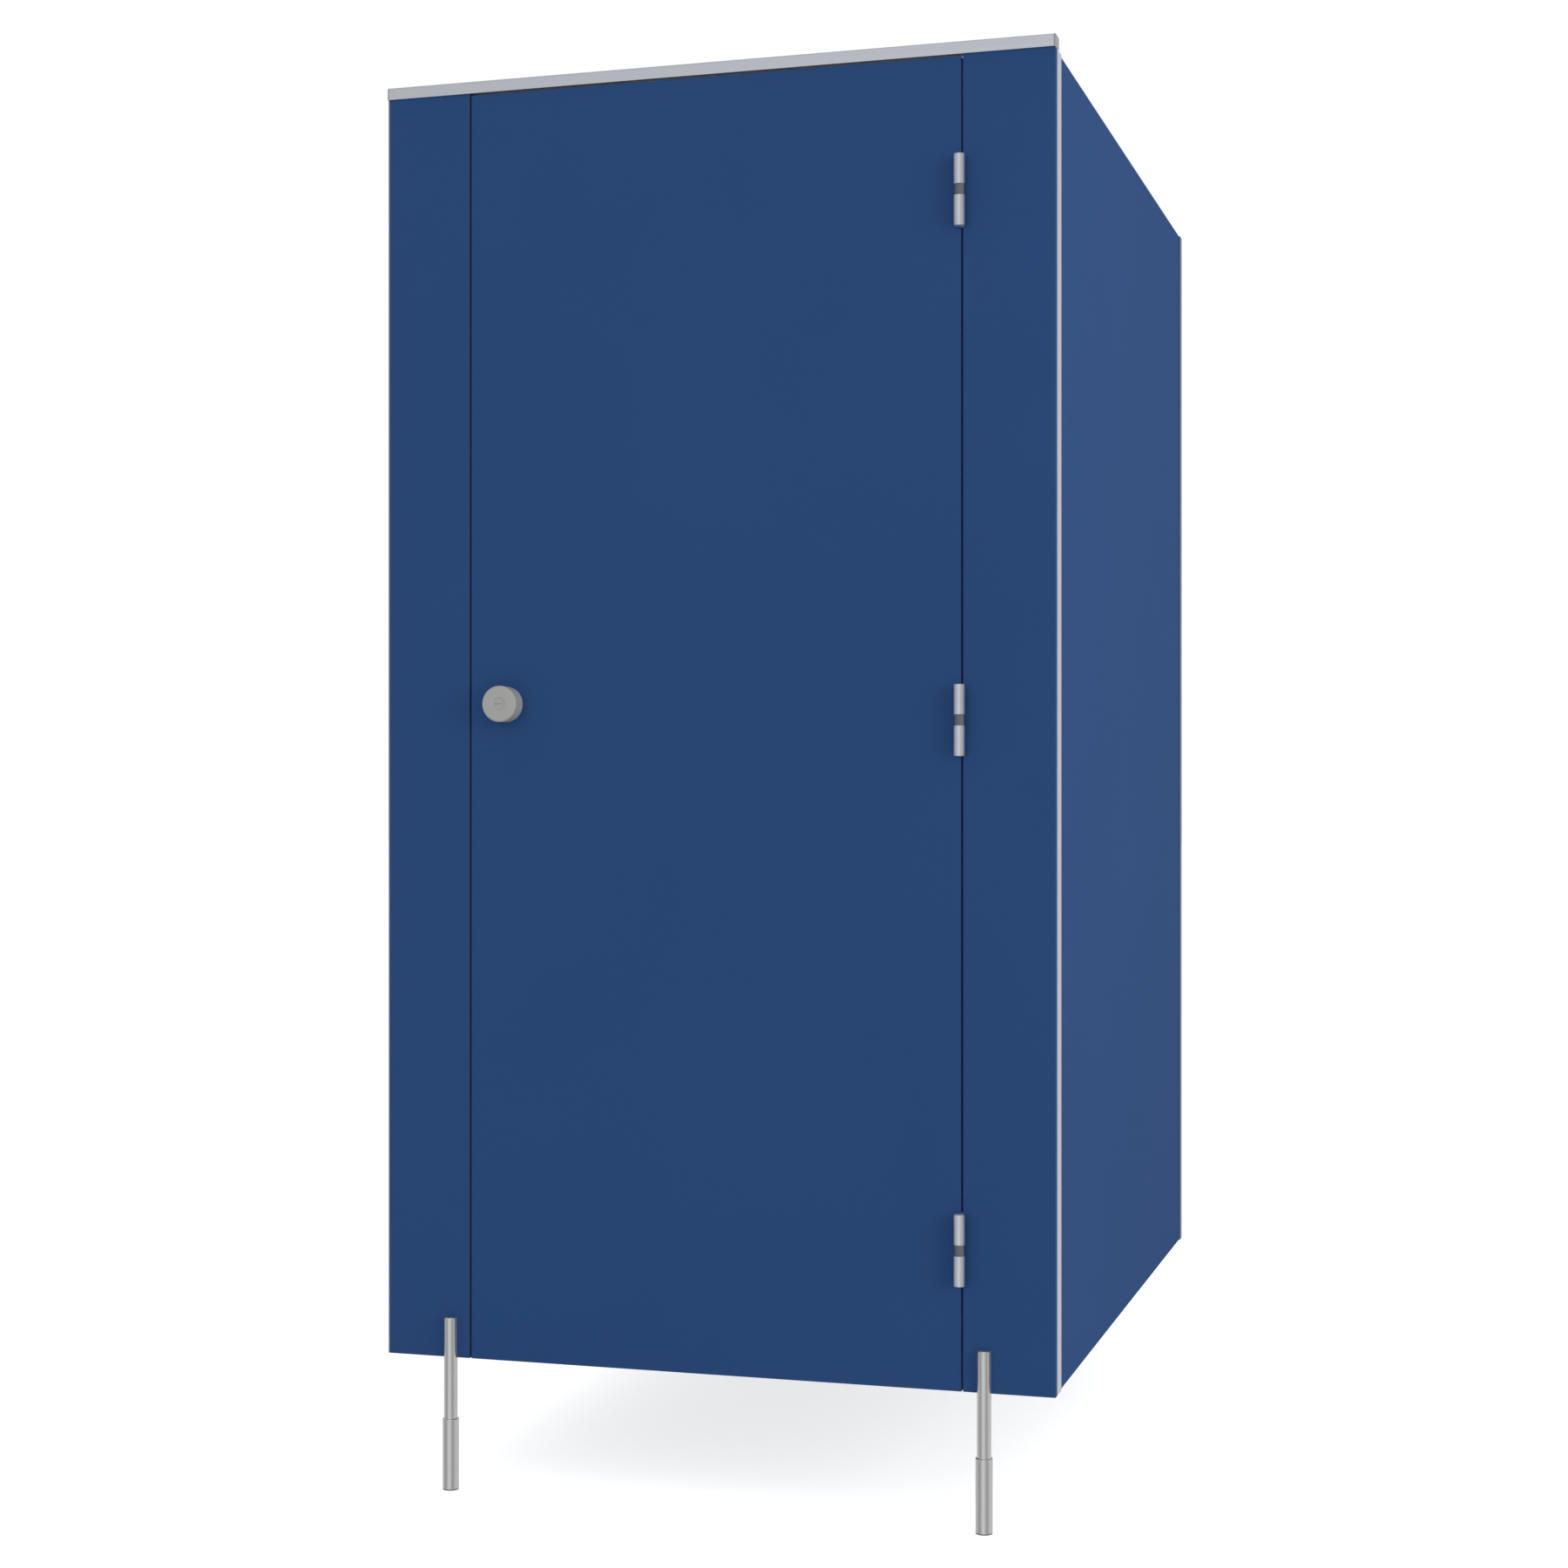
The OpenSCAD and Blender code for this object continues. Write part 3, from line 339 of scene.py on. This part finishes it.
def stainless(name, colour, roughness):
    """Satin stainless steel with short polishing marks along Z."""
    material = bpy.data.materials.new(name)
    material.use_nodes = True
    tree = material.node_tree
    tree.nodes.clear()
    place = add(tree, "ShaderNodeTexCoord")
    drawn = add(tree, "ShaderNodeMapping", {
        "Vector": place.outputs["Object"],
        "Scale": (1 / POLISH_LINE, 1 / POLISH_LINE, 1 / POLISH_RUN)})
    lines = add(tree, "ShaderNodeTexNoise", {"Vector": drawn.outputs[0], "Scale": 1.0,
                                             "Detail": 3.0})
    tone = add(tree, "ShaderNodeMapRange", {"Value": lines.outputs[0],
                                            "From Min": LINES_FAINT,
                                            "From Max": LINES_STRONG,
                                            "To Min": roughness - POLISH_SPREAD,
                                            "To Max": roughness + POLISH_SPREAD})
    relief = add(tree, "ShaderNodeBump", {"Height": lines.outputs[0],
                                          "Strength": POLISH_RELIEF,
                                          "Distance": POLISH_DEPTH})
    shader = add(tree, "ShaderNodeBsdfPrincipled", {
        "Base Color": linear(colour), "Metallic": 1.0, "Roughness": tone.outputs[0],
        "Normal": relief.outputs[0]})
    add(tree, "ShaderNodeOutputMaterial", {"Surface": shader.outputs[0]})
    return material


satin_stainless = stainless("satin_stainless_steel", STAINLESS, STAINLESS_ROUGHNESS)
nylon = moulded("grey_nylon", NYLON_GREY, NYLON_ROUGHNESS)
for hinge in HINGES:
    dress(satin_stainless, hinge + "_frame_half", hinge + "_door_half", hinge + "_pin")
    dress(nylon, hinge + "_bush")


# Screws and bolts: bright stainless, cold headed with a hexagon recess. They are driven
# from inside, so that nothing can be undone from the front.
SCREW_STEEL = "B9BABA"
SCREW_ROUGHNESS = 0.22
dress(stainless("cold_headed_stainless", SCREW_STEEL, SCREW_ROUGHNESS),
      "rail_screws", "front_channel_screws", "partition_screws", "hinge_frame_screws",
      "hinge_door_screws", "lock_screws", "keep_screws", "leg_bolts", "hook_screws",
      "bench_screws", "thumbturn_grub", "left_leg_grub", "right_leg_grub")


# Lock: a moulded pull knob of light grey nylon outside, bolted through the door to a round
# steel backplate. The coin release and the backplate are turned stainless steel, blasted
# matt, and still show the rings of the facing cut.
PULL_GREY = "9A9A98"
PULL_ROUGHNESS = 0.5
TURNED_STEEL = "BDBDBB"
TURNED_ROUGHNESS = 0.48
TURNED_SPREAD = 0.06
FACING_RING = 0.0007
FACING_DEPTH = 0.0001
FACING_RELIEF = 0.2
lock_low, lock_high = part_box("lock_spindle")
LOCK_X = (lock_low.x + lock_high.x) / 2
LOCK_Z = (lock_low.z + lock_high.z) / 2

turned = bpy.data.materials.new("turned_stainless_steel")
turned.use_nodes = True
tree = turned.node_tree
tree.nodes.clear()
place = add(tree, "ShaderNodeTexCoord")
offset = add(tree, "ShaderNodeVectorMath", {0: place.outputs["Object"],
                                            1: (LOCK_X, 0.0, LOCK_Z)}, operation="SUBTRACT")
offset = add(tree, "ShaderNodeVectorMath", {0: offset.outputs[0], 1: (1.0, 0.0, 1.0)},
             operation="MULTIPLY")
radius = add(tree, "ShaderNodeVectorMath", {0: offset.outputs[0]}, operation="LENGTH")
turn = add(tree, "ShaderNodeMath", {0: radius.outputs["Value"], 1: 1 / FACING_RING},
           operation="MULTIPLY")
rings = add(tree, "ShaderNodeTexNoise", {"W": turn.outputs[0], "Scale": 1.0, "Detail": 2.0},
            noise_dimensions="1D")
tone = add(tree, "ShaderNodeMapRange", {"Value": rings.outputs[0],
                                        "To Min": TURNED_ROUGHNESS - TURNED_SPREAD,
                                        "To Max": TURNED_ROUGHNESS + TURNED_SPREAD})
relief = add(tree, "ShaderNodeBump", {"Height": rings.outputs[0],
                                      "Strength": FACING_RELIEF,
                                      "Distance": FACING_DEPTH})
shader = add(tree, "ShaderNodeBsdfPrincipled", {
    "Base Color": linear(TURNED_STEEL), "Metallic": 1.0, "Roughness": tone.outputs[0],
    "Normal": relief.outputs[0]})
add(tree, "ShaderNodeOutputMaterial", {"Surface": shader.outputs[0]})
dress(moulded("light_grey_nylon", PULL_GREY, PULL_ROUGHNESS), "lock_pull")
dress(turned, "lock_backplate", "coin_release")
dress(satin_stainless, "lock_spindle", "latch_arm")
dress(nylon, "thumbturn")


# Keep on the left pilaster: pressed stainless plate with a ledge, and a strip of black
# rubber glued under its nose as the door's buffer.
RUBBER_BLACK = "1E1F21"
RUBBER_ROUGHNESS = 0.75
dress(satin_stainless, "lock_keep")
dress(moulded("black_rubber", RUBBER_BLACK, RUBBER_ROUGHNESS), "keep_buffer")


# Legs: solid aluminium bar, halved at the top over the pilaster, in a sliding aluminium
# sleeve with a clamping screw, both under a thick anodic film that scatters part of the light.
# A nylon plug closes the sleeve and stands on the floor.
ALUMINIUM_BRIGHT = "C9C9C9"
BRIGHT_ROUGHNESS = 0.15
FILM_METALLIC = 0.82
bright = anodised("bright_anodised_aluminium", ALUMINIUM_BRIGHT, 2, BRIGHT_ROUGHNESS,
                  FILM_METALLIC)
dress(bright, "left_leg_bar", "right_leg_bar", "left_leg_sleeve", "right_leg_sleeve")
dress(nylon, "left_leg_foot", "right_leg_foot")


# Coat hook inside the door: bent stainless rod with a ball end, welded to a plate that
# two screws hold. Satin polished like the hinges.
dress(satin_stainless, "coat_hook")
